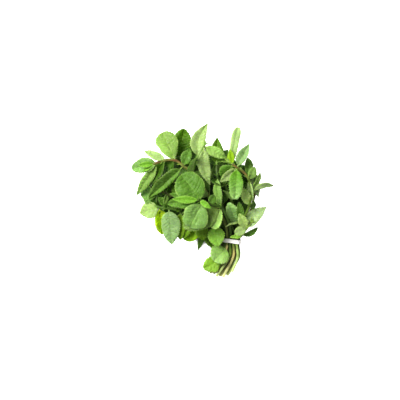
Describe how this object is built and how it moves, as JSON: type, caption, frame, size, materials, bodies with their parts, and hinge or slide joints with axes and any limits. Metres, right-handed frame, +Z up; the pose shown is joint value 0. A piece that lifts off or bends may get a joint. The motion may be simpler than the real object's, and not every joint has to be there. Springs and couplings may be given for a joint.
{
  "type": "bunch of mint sprigs",
  "caption": "Fresh mint bunch lying down: leafy square stems gathered by an elastic band near their cut ends, leaves fanned out above it.",
  "frame": {"origin": "centre of the bounding box's underside, on the surface that the bunch lies on", "axes": "+Z up; the stems' cut ends point to -Y and the leaves to +Y; +X to the right seen from above"},
  "size_m": [0.1804, 0.1969, 0.07],
  "materials": {
    "leaf": "fresh green mint leaf, softly satin with impressed veins, paler underneath; stems green to purple-brown",
    "elastic": "matt white elastic band with a faint warm tint"
  },
  "bodies": {
    "root": {"sprig_rosette": "leaf", "sprig_right": "leaf", "sprig_east": "leaf", "sprig_left": "leaf", "sprig_edge": "leaf", "sprig_crown": "leaf", "sprig_lower": "leaf", "sprig_inland": "leaf", "sprig_inner": "leaf", "sprig_outer": "leaf", "sprig_bottom": "leaf", "sprig_west": "leaf", "sprig_north": "leaf", "band": "elastic"}
  },
  "joints": []
}
